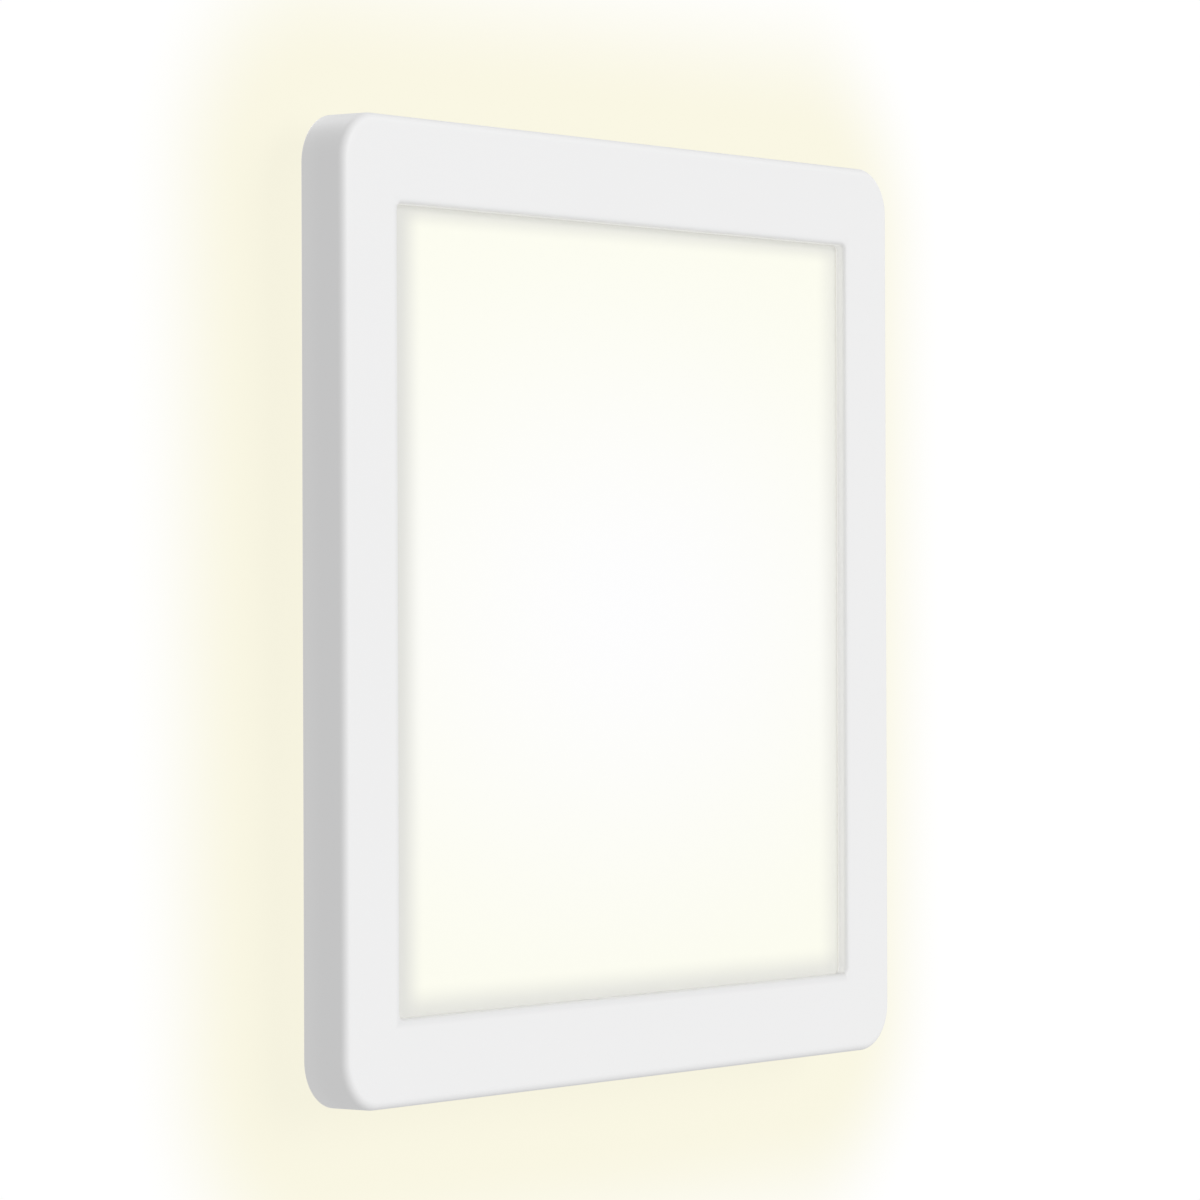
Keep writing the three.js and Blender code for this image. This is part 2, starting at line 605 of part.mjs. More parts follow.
const JUMPER_CORNERS = [['top_right', 0], ['top_left', 90], ['bottom_left', 180]];
const haloJumper = () => lead([
  [92, 114, HALO_PAD_Z],
  [101, 115.5, HALO_PAD_Z - 0.8],
  [112, 112, HALO_PAD_Z - 0.8],
  [115.5, 101, HALO_PAD_Z - 0.8],
  [114, 92, HALO_PAD_Z],
], LEAD_R, 4);
const mainJumper = () => lead([
  [EDGE_PAD, 111, UNDER_GUIDE],
  [119.5, 116, UNDER_GUIDE],
  [116, 119.5, UNDER_GUIDE],
  [111, EDGE_PAD, UNDER_GUIDE],
], LEAD_R, 2.5);
for (const [corner, turn] of JUMPER_CORNERS) {
  add('halo_jumper_' + corner, whitePvc, haloJumper(), [0, 0, 0], turn);
  add('main_jumper_' + corner, whitePvc, mainJumper(), [0, 0, 0], turn);
}

const panelLight = new THREE.Group();
panelLight.name = 'led_panel_light';
panelLight.add(panelFrame);

export default panelLight;
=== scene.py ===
"""A square LED panel light with a halo backlight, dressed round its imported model.

Every piece is in metres in the model's own frame: x to the right, +Z up, the wall at y = 0 and the
lit face towards -Y. Shapes are worked out in the panel's own measures, which are millimetres across
the panel, up it, and out from the wall, and in_room turns them into the model's frame.
"""

import json
import math

import bmesh
import bpy
import numpy as np
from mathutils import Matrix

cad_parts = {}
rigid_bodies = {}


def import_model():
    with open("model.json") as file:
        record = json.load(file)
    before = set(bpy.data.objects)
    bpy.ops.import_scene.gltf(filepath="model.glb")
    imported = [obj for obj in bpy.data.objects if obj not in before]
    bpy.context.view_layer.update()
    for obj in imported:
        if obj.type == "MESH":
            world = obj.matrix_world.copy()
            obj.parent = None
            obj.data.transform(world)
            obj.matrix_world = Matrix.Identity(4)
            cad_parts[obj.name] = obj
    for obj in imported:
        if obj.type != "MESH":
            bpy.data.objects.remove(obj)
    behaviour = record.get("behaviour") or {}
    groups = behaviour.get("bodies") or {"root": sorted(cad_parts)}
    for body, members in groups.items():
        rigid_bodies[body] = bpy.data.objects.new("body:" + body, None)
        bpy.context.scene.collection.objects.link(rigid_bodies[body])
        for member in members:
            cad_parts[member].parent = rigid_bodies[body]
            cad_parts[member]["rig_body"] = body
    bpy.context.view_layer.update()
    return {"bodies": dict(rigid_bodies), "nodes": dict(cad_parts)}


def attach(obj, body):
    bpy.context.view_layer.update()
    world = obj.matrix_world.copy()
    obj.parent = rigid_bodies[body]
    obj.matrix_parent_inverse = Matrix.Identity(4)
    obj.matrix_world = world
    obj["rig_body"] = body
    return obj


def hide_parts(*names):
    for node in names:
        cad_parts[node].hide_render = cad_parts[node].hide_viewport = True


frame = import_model()

# ------------------------------------------------------------------ measures, in millimetres

MM = 0.001
SIDE = 293.0
DEPTH = 28.0
RIM_BACK = 12.0
CORNER_R = 15.0
EDGE_R = 2.5
WINDOW = 241.0
WINDOW_R = 2.0
WINDOW_EDGE_R = 1.4
LIP_BACK = 24.33
LIP_WALL = 2.0
FRAME_WALL = 2.2
FRONT_INNER = 25.6
RIB_FRONT = FRONT_INNER + 0.3
SMALL_R = 0.4

FRAME_SCREW_AT = 135.0
FRAME_BOSS_BACK = 14.9
COVER_SCREW_AT = 104.0
COVER_SCREW_MID = 86.0
PILOT_R = 1.7
SHANK_R = 1.35
HEAD_R = 3.0
COVER_BACK = 1.5
PAD_AT = 100.0
LEAD_R = 0.9

ARROW_AT = 78.5
BEAD_AT = 109.0

CORNERS = [(1, 1), (-1, 1), (-1, -1), (1, -1)]
FLAT = math.radians(0.5)
FOLD_DEGREES = 35
HALF_TURN = math.pi
QUARTER_TURN = math.pi / 2
FULL_TURN = 2 * math.pi


# ------------------------------------------------------------------ surfaces


def in_room(across, up, out):
    """Points in metres from millimetres across, up and out from the wall: x is across, y is minus
    out, and z is up."""
    placed = np.broadcast_arrays(across, np.negative(out), up)
    return np.stack(placed, axis=-1).reshape(-1, 3) * MM


def grid_faces(rows, columns, rows_join=False):
    """Four-sided faces between neighbours on a grid whose columns join round.

    With rows_join the last row meets the first, as on a ring. Otherwise two more points, numbered
    after the grid, close the first and the last row with a fan."""
    row = np.arange(rows if rows_join else rows - 1)[:, None]
    column = np.arange(columns)[None, :]
    after = (column + 1) % columns
    below = (row + 1) % rows
    start, end = row * columns, below * columns
    corners = np.broadcast_arrays(start + column, start + after, end + after, end + column)
    faces = np.stack(corners, axis=-1).reshape(-1, 4).tolist()
    if rows_join:
        return faces
    column, after = column[0], after[0]
    last = (rows - 1) * columns
    first_pole = np.full(columns, rows * columns)
    faces += np.stack([after, column, first_pole], axis=-1).tolist()
    faces += np.stack([last + column, last + after, first_pole + 1], axis=-1).tolist()
    return faces


def gather(*shells):
    """Several closed surfaces as one set of points and faces."""
    points, faces, count = [], [], 0
    for shell_points, shell_faces in shells:
        points.append(shell_points)
        faces += [[corner + count for corner in face] for face in shell_faces]
        count += len(shell_points)
    return np.concatenate(points), faces


def rounded_square(half, radius, out, arc_steps=12, support=0.8):
    """A closed section carried round a rounded square.

    Row i is a rounded square of half-side half[i] and corner radius radius[i] at out[i]. Each corner
    is a quarter circle about the point half - radius from both centre lines, with one more point just
    before and after it, so that the long sides shade flat. The last row meets the first."""
    half, radius, out = (np.asarray(value, float)[:, None] for value in (half, radius, out))
    angle = np.linspace(0, QUARTER_TURN, arc_steps + 1)[None, :]
    centre = half - radius
    across = np.concatenate([half, centre + radius * np.cos(angle), centre - support], axis=1)
    up = np.concatenate([centre - support, centre + radius * np.sin(angle), half], axis=1)
    quarters = [(across, up), (-up, across), (-across, -up), (up, -across)]
    across = np.concatenate([quarter[0] for quarter in quarters], axis=1)
    up = np.concatenate([quarter[1] for quarter in quarters], axis=1)
    rows, columns = across.shape
    return in_room(across, up, np.broadcast_to(out, across.shape)), grid_faces(rows, columns, True)


def arc(centre, radius, start, end, steps):
    """Points of a section's round: centre plus radius times the cosine and sine of degrees that run
    evenly from start to end."""
    angle = np.radians(np.linspace(start, end, steps + 1))
    first = centre[0] + radius * np.cos(angle)
    second = centre[1] + radius * np.sin(angle)
    return list(zip(first, second))


def circles(profile, at, sides):
    """Each (radius, out) of the profile as a circle about a line that stands on the wall at the place
    given: at plus radius times the cosine and sine of an angle that runs round."""
    radius, out = (np.array(value)[:, None] for value in zip(*profile))
    angle = np.linspace(0, FULL_TURN, sides, endpoint=False)[None, :]
    return in_room(at[0] + radius * np.cos(angle), at[1] + radius * np.sin(angle), out)


def poles_at(at, first, last):
    """The two end points of a closed form, on a line that stands on the wall."""
    return in_room(np.full(2, at[0]), np.full(2, at[1]), np.array([first, last]))


def turned(profile, at, sides=48):
    """A closed solid of revolution: the profile's circles, with a pole that closes each end."""
    poles = poles_at(at, profile[0][1], profile[-1][1])
    return np.concatenate([circles(profile, at, sides), poles]), grid_faces(len(profile), sides)


def pipe_ring(at, inner, outer, back, front, sides=32):
    """A short tube: a rectangle whose two back corners are rounded, turned about its line."""
    r = 0.3
    inner_round = arc((inner + r, back + r), r, 180, 270, 2)
    outer_round = arc((outer - r, back + r), r, 270, 360, 2)
    profile = inner_round + outer_round + [(outer, front), (inner, front)]
    return circles(profile, at, sides), grid_faces(len(profile), sides, True)


def rounded_block(low, high, edge=0.3):
    """A box with rounded edges, on a grid of longitude and latitude: a point is a corner of the core
    box, which is edge smaller all round, plus edge times the direction that its two angles give."""
    centre = (np.array(low) + np.array(high)) / 2
    core = (np.array(high) - np.array(low)) / 2 - edge
    quarter = np.linspace(0, QUARTER_TURN, 4)
    longitude = np.concatenate([quarter + i * QUARTER_TURN for i in range(4)])[None, :]
    side = np.repeat(np.arange(4), 4)[None, :]
    across_sign = np.where((side == 0) | (side == 3), 1.0, -1.0)
    up_sign = np.where(side < 2, 1.0, -1.0)
    latitude = np.concatenate([quarter - QUARTER_TURN, quarter])[:, None]
    out_sign = np.where(np.arange(8) < 4, -1.0, 1.0)[:, None]
    across = centre[0] + across_sign * core[0] + edge * np.cos(latitude) * np.cos(longitude)
    up = centre[1] + up_sign * core[1] + edge * np.cos(latitude) * np.sin(longitude)
    out = centre[2] + out_sign * core[2] + edge * np.sin(latitude)
    reach = core[2] + edge
    poles = poles_at(centre, centre[2] - reach, centre[2] + reach)
    return np.concatenate([in_room(across, up, out), poles]), grid_faces(8, 16)


def curved_arrow(radius, start, end, half_width, head_share, head_half_width, back, front):
    """A raised arrow that follows a circle about the panel's centre, from start to end degrees.

    Its four-cornered section has an even half-width, until the last head_share of the run, which
    flares to head_half_width and narrows evenly to a point."""
    neck = 1 - head_share
    share = np.concatenate([np.linspace(0, neck, 18), np.linspace(neck, 1, 8)])
    half = np.concatenate([np.full(18, half_width), np.linspace(head_half_width, 0.05, 8)])
    angle = np.radians(start + (end - start) * share)[:, None]
    offset = half[:, None] * np.array([-1.0, -0.8, 0.8, 1.0])[None, :]
    out = np.array([back, front, front, back])[None, :]
    distance = radius + offset
    points = in_room(distance * np.cos(angle), distance * np.sin(angle), np.broadcast_to(out, offset.shape))
    centres = np.radians(np.array([start, end]))
    poles = in_room(radius * np.cos(centres), radius * np.sin(centres), np.full(2, (back + front) / 2))
    return np.concatenate([points, poles]), grid_faces(len(share), 4)


def lead_line(points, spacing=0.5):
    """Points a set distance apart on a Catmull-Rom curve: between two of the route's points it is the
    cubic whose end slopes are half the step between the neighbours on each side."""
    route = np.array(points, float)
    route = np.concatenate([[2 * route[0] - route[1]], route, [2 * route[-1] - route[-2]]])
    t = np.linspace(0, 1, 60, endpoint=False)[None, :, None]
    before, first, second, after = (route[i : len(route) - 3 + i, None, :] for i in range(4))
    slope_in, slope_out = (second - before) / 2, (after - first) / 2
    rise = second - first
    curve = first + slope_in * t + (3 * rise - 2 * slope_in - slope_out) * t**2
    curve = curve + (slope_in + slope_out - 2 * rise) * t**3
    curve = np.concatenate([curve.reshape(-1, 3), route[-2:-1]])
    run = np.concatenate([[0], np.cumsum(np.linalg.norm(np.diff(curve, axis=0), axis=1))])
    even = np.linspace(0, run[-1], max(8, int(run[-1] / spacing)))
    return np.stack([np.interp(even, run, curve[:, axis]) for axis in range(3)], axis=-1), even


def lead_tube(points, radius=LEAD_R, sides=20):
    """A round tube along a lead's line: each ring is radius times a cosine and sine of two directions
    at right angles to the line, and its ends draw in over the last half millimetre."""
    line, run = lead_line(points)
    along = np.gradient(line, axis=0)
    along /= np.linalg.norm(along, axis=1, keepdims=True)
    side = np.cross(along, [0.0, 0.0, 1.0])
    side /= np.linalg.norm(side, axis=1, keepdims=True)
    rise = np.cross(side, along)
    size = radius * np.clip(np.minimum(run, run[-1] - run) / 0.5 + 0.75, 0, 1)[:, None, None]
    angle = np.linspace(0, FULL_TURN, sides, endpoint=False)[None, :, None]
    rings = line[:, None, :] + size * (side[:, None, :] * np.cos(angle) + rise[:, None, :] * np.sin(angle))
    ring_points = in_room(rings[..., 0], rings[..., 1], rings[..., 2])
    ends = in_room(*line[[0, -1]].T)
    return np.concatenate([ring_points, ends]), grid_faces(len(line), sides)


def head_recess(across, up, head_radius, cross):
    """The share of its full depth that a screw head's recess has at a place: 1 in an arm, falling
    evenly to 0 over a tenth of a millimetre at its sides and a quarter at its ends. cross is True
    for a cross and False for one slot."""
    arm, reach = head_radius * 0.13, head_radius * 0.6

    def sunk(along, aside):
        walls = np.clip((arm - np.abs(aside)) / 0.1, 0, 1)
        ends = np.clip((reach - np.abs(along)) / 0.25, 0, 1)
        return walls * ends

    recess = sunk(across, up)
    if cross:
        recess = np.maximum(recess, sunk(up, across))
    return recess


def screw(at, head_back, head_tall, tip, cross, head_radius=HEAD_R, shank_radius=SHANK_R):
    """A pan-head screw whose head faces the wall, on a polar grid.

    Away from the head's middle the crown falls off as the square of the radius, and the recess sinks
    it. Below the head the shank's radius rises and falls with height plus turn, as a thread does."""
    sides = 72
    angle = np.linspace(0, FULL_TURN, sides, endpoint=False)[None, :]
    crown = head_tall * 0.4
    radius = np.concatenate([np.linspace(0.08, 0.7, 22), np.linspace(0.73, 0.96, 8)])[:, None] * head_radius
    across, up = radius * np.cos(angle), radius * np.sin(angle)
    depth = head_tall * 0.5 * head_recess(across, up, head_radius, cross)
    head_out = head_back + crown * (radius / head_radius) ** 2 + depth
    shoulder = [(1.0, crown * 1.25), (1.0, head_tall - 0.15), (0.96, head_tall)]
    under = [(shank_radius / head_radius, head_tall)]
    rest = np.array(shoulder + under)
    rest_radius = (rest[:, :1] * head_radius) * np.ones_like(angle)
    rest_out = (head_back + rest[:, 1:]) * np.ones_like(angle)
    height = np.linspace(head_back + head_tall + 0.1, tip - 0.6, 40)[:, None]
    ridge = np.abs(((height / 0.9 + angle / FULL_TURN) % 1.0) * 2 - 1)
    thread_radius = shank_radius * (0.82 + 0.18 * ridge)
    thread_out = height * np.ones_like(angle)
    point_radius = np.full_like(angle, shank_radius * 0.5)
    point_out = np.full_like(angle, tip)
    all_radius = np.concatenate([radius * np.ones_like(angle), rest_radius, thread_radius, point_radius])
    all_out = np.concatenate([head_out, rest_out, thread_out, point_out])
    points = in_room(at[0] + all_radius * np.cos(angle), at[1] + all_radius * np.sin(angle), all_out)
    poles = poles_at(at, head_back + head_tall * 0.5, tip)
    return np.concatenate([points, poles]), grid_faces(len(all_radius), sides)


# ------------------------------------------------------------------ pieces


def face_outwards(mesh):
    """Merges points that share a place, and turns every face to look out of its closed surface."""
    work = bmesh.new()
    work.from_mesh(mesh)
    bmesh.ops.remove_doubles(work, verts=work.verts, dist=1e-7)
    bmesh.ops.recalc_face_normals(work, faces=work.faces)
    work.to_mesh(mesh)
    work.free()


def shade(mesh, sharp_degrees):
    """Smooth shading, broken along edges sharper than sharp_degrees."""
    mesh.polygons.foreach_set("use_smooth", np.ones(len(mesh.polygons), bool))
    mesh.set_sharp_from_angle(angle=math.radians(sharp_degrees))


def place(name, mesh, body, slot, stands_for):
    """Adds a piece that rides on a body, in a slot with its finish, and replaces the CAD nodes given."""
    piece = bpy.data.objects.new(name, mesh)
    bpy.context.scene.collection.objects.link(piece)
    mesh.materials.clear()
    mesh.materials.append(finishes[slot].material)
    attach(piece, body)
    if stands_for:
        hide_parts(*stands_for)
    return piece


def make(name, shell, slot, stands_for, sharp_degrees=40):
    """A piece of the fitting from the points and faces of a worked-out surface."""
    points, faces = shell
    mesh = bpy.data.meshes.new(name)
    mesh.from_pydata(points, [], faces)
    face_outwards(mesh)
    shade(mesh, sharp_degrees)
    return place(name, mesh, "luminaire", slot, stands_for)


def refined(node, edge_mm, steps=2, extra=None):
    """A copy of a CAD node with its loose triangles joined into flat faces and its edges rounded.

    extra is a worked-out surface that becomes part of the same moulding."""
    source = frame["nodes"][node]
    mesh = source.data.copy()
    mesh.name = node + "_shape"
    work = bmesh.new()
    work.from_mesh(mesh)
    bmesh.ops.remove_doubles(work, verts=work.verts, dist=2e-6)
    bmesh.ops.join_triangles(
        work, faces=work.faces, angle_face_threshold=FLAT, angle_shape_threshold=HALF_TURN
    )
    work.to_mesh(mesh)
    work.free()
    for layer in list(mesh.uv_layers):
        mesh.uv_layers.remove(layer)
    shade(mesh, FOLD_DEGREES)
    piece = place(node + "_piece", mesh, source["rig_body"], slot_of[node], [node])
    bevel = piece.modifiers.new("rounded edges", "BEVEL")
    bevel.width = edge_mm * MM
    bevel.segments = steps
    bevel.limit_method = "ANGLE"
    bevel.angle_limit = math.radians(FOLD_DEGREES)
    bevel.use_clamp_overlap = False
    flat_faces = piece.modifiers.new("flat faces", "WEIGHTED_NORMAL")
    flat_faces.keep_sharp = True
    if extra:
        join_shell(piece, extra)
    return piece


def join_shell(piece, shell):
    """Adds a worked-out surface to a piece's own mesh, as more of the same moulding."""
    points, faces = shell
    added = bpy.data.meshes.new("added")
    added.from_pydata(points, [], faces)
    face_outwards(added)
    work = bmesh.new()
    work.from_mesh(piece.data)
    work.from_mesh(added)
    work.to_mesh(piece.data)
    work.free()
    bpy.data.meshes.remove(added)
    shade(piece.data, FOLD_DEGREES)


slot_of = {node: thing.data.materials[0].name for node, thing in frame["nodes"].items()}
for thing in frame["nodes"].values():
    thing.data.materials.clear()
for plain in list(bpy.data.materials):
    bpy.data.materials.remove(plain)

# ------------------------------------------------------------------ shader language

BLACK = (0.0, 0.0, 0.0)
WHITE = (1.0, 1.0, 1.0)


def put(tree, value, socket):
    """Links a socket to a wire, or sets it to a plain value. A three-part colour gets its alpha."""
    if isinstance(value, Wire):
        tree.links.new(value.socket, socket)
    elif isinstance(value, tuple) and socket.type == "RGBA" and len(value) == 3:
        socket.default_value = (*value, 1.0)
    else:
        socket.default_value = value


class Wire:
    """An output of a node. Python's arithmetic on a wire that carries a number adds Math nodes."""

    def __init__(self, tree, socket):
        self.tree = tree
        self.socket = socket

    def maths(self, operation, first, second=0.0):
        node = self.tree.nodes.new("ShaderNodeMath")
        node.operation = operation
        put(self.tree, first, node.inputs[0])
        put(self.tree, second, node.inputs[1])
        return Wire(self.tree, node.outputs[0])

    def __add__(self, other):
        return self.maths("ADD", self, other)

    def __radd__(self, other):
        return self.maths("ADD", other, self)

    def __sub__(self, other):
        return self.maths("SUBTRACT", self, other)

    def __rsub__(self, other):
        return self.maths("SUBTRACT", other, self)

    def __mul__(self, other):
        return self.maths("MULTIPLY", self, other)

    def __rmul__(self, other):
        return self.maths("MULTIPLY", other, self)

    def __pow__(self, other):
        return self.maths("POWER", self, other)

    def __abs__(self):
        return self.maths("ABSOLUTE", self)

    def more_of(self, other):
        return self.maths("MAXIMUM", self, other)

    def less_of(self, other):
        return self.maths("MINIMUM", self, other)

    def wave(self):
        return self.maths("COSINE", self)

    def fade(self, start, end):
        """0 at start and 1 at end, with a smooth step between."""
        node = self.tree.nodes.new("ShaderNodeMapRange")
        node.interpolation_type = "SMOOTHSTEP"
        falls = start > end
        values = {
            "Value": self,
            "From Min": min(start, end),
            "From Max": max(start, end),
            "To Min": float(falls),
            "To Max": float(not falls),
        }
        for name, value in values.items():
            put(self.tree, value, node.inputs[name])
        return Wire(self.tree, node.outputs[0])


class Finish:
    """One procedural material: a Principled surface, and the nodes that vary it."""

    def __init__(self, name, colour, roughness, metallic=0.0, **fixed):
        self.material = bpy.data.materials.new(name)
        self.material.use_nodes = True
        self.tree = self.material.node_tree
        self.shader = self.tree.nodes["Principled BSDF"]
        self.feed("Base Color", colour)
        self.feed("Roughness", roughness)
        self.feed("Metallic", metallic)
        for socket, value in fixed.items():
            self.feed(socket.replace("_", " "), value)

    def feed(self, socket, value):
        put(self.tree, value, self.shader.inputs[socket])

    def node(self, kind, settings=None, values=None, output=0):
        """Adds a node: its settings first, then its sockets' values or links. Gives one output."""
        made = self.tree.nodes.new("ShaderNode" + kind)
        for key, value in (settings or {}).items():
            setattr(made, key, value)
        for key, value in (values or {}).items():
            put(self.tree, value, made.inputs[key])
        return Wire(self.tree, made.outputs[output])

    def place(self):
        """The point on the piece, in metres in the model's frame."""
        return self.node("TexCoord", output="Object")

    def axes(self):
        """The point's x, y and z as three numbers."""
        split = self.node("SeparateXYZ", values={"Vector": self.place()})
        outputs = split.socket.node.outputs
        return [Wire(self.tree, outputs[i]) for i in range(3)]

    def noise(self, size_mm, detail=2.0, stretch=(1.0, 1.0, 1.0)):
        """Cloudy noise from 0 to 1, whose blotches are about size_mm across, drawn out by stretch."""
        scale = tuple(1 / part for part in stretch)
        where = self.node("Mapping", {"vector_type": "POINT"}, {"Vector": self.place(), "Scale": scale})
        values = {"Vector": where, "Scale": 1000 / size_mm, "Detail": detail}
        return self.node("TexNoise", {}, values)

    def cells(self, size_mm, feature="F1", output="Distance"):
        """Voronoi cells about size_mm across."""
        values = {"Vector": self.place(), "Scale": 1000 / size_mm}
        return self.node("TexVoronoi", {"feature": feature}, values, output)

    def blend(self, share, first, second):
        """A colour that goes from first to second as share goes from 0 to 1."""
        made = self.tree.nodes.new("ShaderNodeMix")
        made.data_type = "RGBA"
        put(self.tree, share, made.inputs[0])
        put(self.tree, first, made.inputs[6])
        put(self.tree, second, made.inputs[7])
        return Wire(self.tree, made.outputs[2])

    def bump(self, height, depth_mm, strength=1.0):
        """Raises the surface by height times depth_mm."""
        values = {"Height": height, "Distance": depth_mm * MM, "Strength": strength}
        self.feed("Normal", self.node("Bump", {}, values))


def mixed(colour, other, share):
    """A plain colour share of the way from one to the other."""
    return tuple(a + (b - a) * share for a, b in zip(colour, other))


def darker(colour, share):
    """A plain colour share of the way to black."""
    return mixed(colour, BLACK, share)


def lighter(colour, share):
    """A plain colour share of the way to white."""
    return mixed(colour, WHITE, share)


# ------------------------------------------------------------------ finishes


def moulded(name, colour, roughness, grain_mm=0.35, depth_mm=0.006, cloud=0.02, uneven=0.12):
    """Injection-moulded plastic: a fine spark-eroded grain and a very faint cloudiness of colour."""
    finish = Finish(name, colour, roughness)
    grain = finish.noise(grain_mm, 3.0)
    drift = finish.noise(45.0, 1.0)
    finish.feed("Base Color", finish.blend(drift, darker(colour, cloud), lighter(colour, cloud)))
    finish.feed("Roughness", grain * uneven + (roughness - uneven / 2))
    finish.bump(grain, depth_mm)
    return finish


def frame_plastic(name):
    """The front frame's satin white, with painted light: a glow on the lip round the window, except
    along the bottom, and in the crevice at the lip's back on the right and top, in place of light from
    the lit window, and a faint glow on the rim's back in place of the backlight. The round between the
    front and the lip has painted shade: slightly darker, most at the left and along the bottom."""
    finish = moulded(name, (0.855, 0.855, 0.857), 0.5, 0.9, 0.002, 0.006, 0.03)
    x, y, z = finish.axes()
    from_centre = abs(x).more_of(abs(z))
    beside_window = from_centre.fade(0.1224, 0.1218)
    lip_wall = y.fade(-0.0278, -0.0262)
    at_side = abs(x).fade(0.1196, 0.1203)
    above = z.fade(-0.1203, -0.1196)
    right_or_top = x.more_of(z).fade(0.1196, 0.1203)
    # Painted glow on the lip, in its crevice and on the rim's back, in place of light from the window and
    # the backlight.
    crevice = y.fade(-0.0246, -0.0244) * right_or_top * 0.2
    painted_lip_glow = beside_window * lip_wall * ((at_side * 0.11).more_of(above * 0.15) + crevice)
    behind = y.fade(-0.020, -0.012) * 0.022
    finish.feed("Emission Color", finish.blend(painted_lip_glow + behind, BLACK, (1.0, 0.99, 0.95)))
    finish.feed("Emission Strength", 1.0)
    # Painted shade on the round between the front and the lip.
    front_round = from_centre.fade(0.1234, 0.1208) * y.fade(-0.0262, -0.0272)
    shading = front_round * (0.10 - right_or_top * 0.08)
    plain = Wire(finish.tree, finish.shader.inputs["Base Color"].links[0].from_socket)
    finish.feed("Base Color", finish.blend(shading, plain, BLACK))
    return finish


def painted_steel(name, colour, roughness):
    """Powder-coated sheet: a rolling orange peel, with fine specks in it."""
    finish = Finish(name, colour, roughness, Coat_Weight=0.25, Coat_Roughness=0.25)
    peel = finish.noise(1.6, 2.0)
    speck = finish.noise(0.25, 1.0)
    finish.feed("Base Color", finish.blend(speck, darker(colour, 0.03), lighter(colour, 0.03)))
    finish.feed("Roughness", peel * 0.14 + (roughness - 0.07))
    finish.bump(peel + speck * 0.15, 0.02)
    return finish


def zinc_plate(name):
    """Galvanised sheet: zinc crystals a few millimetres across, each of its own brightness, with the
    rolling direction and light scratches over them."""
    finish = Finish(name, (0.6, 0.62, 0.64), 0.36, 0.9)
    crystal = finish.node("SeparateColor", {}, {"Color": finish.cells(5.5, output="Color")})
    rolled = finish.noise(0.5, 3.0, stretch=(30.0, 1.0, 1.0))
    scratch = finish.noise(0.3, 2.0, stretch=(1.0, 1.0, 60.0)).fade(0.62, 0.72)
    brightness = crystal * 0.6 + rolled * 0.4
    colour = finish.blend(brightness, (0.5, 0.52, 0.54), (0.72, 0.73, 0.75))
    finish.feed("Base Color", finish.blend(scratch * 0.35, colour, (0.85, 0.86, 0.87)))
    finish.feed("Roughness", 0.28 + crystal * 0.12 + rolled * 0.08)
    finish.bump(rolled + crystal * 0.5, 0.01)
    return finish


def bright_metal(name, colour, roughness, worn=(1.0, 1.0, 1.0)):
    """Plated or turned metal: a fine brushed grain, with brighter rubbed patches."""
    finish = Finish(name, colour, roughness, 1.0)
    brushed = finish.noise(0.12, 3.0, stretch=(1.0, 8.0, 1.0))
    rubbed = finish.noise(2.2, 3.0).fade(0.5, 0.68)
    finish.feed("Base Color", finish.blend(rubbed * 0.5, colour, mixed(colour, worn, 0.35)))
    finish.feed("Roughness", brushed * 0.2 + (roughness - 0.08))
    finish.bump(brushed, 0.006)
    return finish


def rubber(name, colour):
    """Soft rubber: matt, with a pebbled skin and a dusty bloom."""
    finish = Finish(name, colour, 0.85)
    pebble = finish.noise(0.5, 3.0)
    bloom = finish.noise(4.0, 2.0)
    finish.feed("Base Color", finish.blend(bloom, darker(colour, 0.15), lighter(colour, 0.12)))
    finish.feed("Roughness", 0.72 + pebble * 0.25)
    finish.bump(pebble, 0.03)
    return finish


def sleeve(name, colour, stripe=None):
    """PVC insulation: satin, with faint drawing lines. A stripe runs along one side of the lead."""
    finish = Finish(name, colour, 0.42)
    drawn = finish.noise(0.3, 2.0, stretch=(1.0, 1.0, 12.0))
    tone = finish.noise(9.0, 1.0)
    paint = finish.blend(tone, darker(colour, 0.12), lighter(colour, 0.06))
    if stripe:
        x, y, z = finish.axes()
        band = ((x * 0.8 + z * 0.6) * 1500 + y * 900).wave()
        paint = finish.blend(band.fade(-0.15, 0.15), paint, stripe)
    finish.feed("Base Color", paint)
    finish.feed("Roughness", 0.36 + drawn * 0.14)
    finish.bump(drawn, 0.008)
    return finish


def circuit_board(name, mask_colour):
    """Solder mask over copper: raised tracks show as slightly lighter lines, with bare solder dots."""
    finish = Finish(name, mask_colour, 0.35)
    track = finish.cells(3.4, "DISTANCE_TO_EDGE").fade(0.1, 0.06)
    dot = finish.cells(2.6).fade(0.16, 0.12)
    copper = finish.blend(track, mask_colour, mixed(mask_colour, (0.55, 0.75, 0.45), 0.3))
    finish.feed("Base Color", finish.blend(dot, copper, (0.78, 0.79, 0.8)))
    finish.feed("Metallic", dot * 0.9)
    finish.feed("Roughness", 0.38 - dot * 0.12)
    finish.bump(track + dot, 0.03)
    return finish


def led_board(name):
    """White solder mask with yellow phosphor on the LED packages, which stand in towards the light
    guide on the main strips and towards the wall on the backlight strips."""
    finish = Finish(name, (0.86, 0.87, 0.85), 0.35)
    x, y, z = finish.axes()
    from_centre = abs(x).more_of(abs(z))
    facing_guide = from_centre.fade(0.12395, 0.12385) * y.fade(-0.0165, -0.0166)
    facing_wall = y.fade(-0.01228, -0.01222)
    phosphor = facing_guide.more_of(facing_wall)
    fleck = finish.noise(0.3, 2.0)
    white = finish.blend(fleck, (0.8, 0.81, 0.79), (0.9, 0.91, 0.9))
    finish.feed("Base Color", finish.blend(phosphor, white, (0.93, 0.74, 0.2)))
    finish.feed("Roughness", 0.3 + fleck * 0.15 + phosphor * 0.2)
    finish.bump(fleck, 0.01)
    return finish


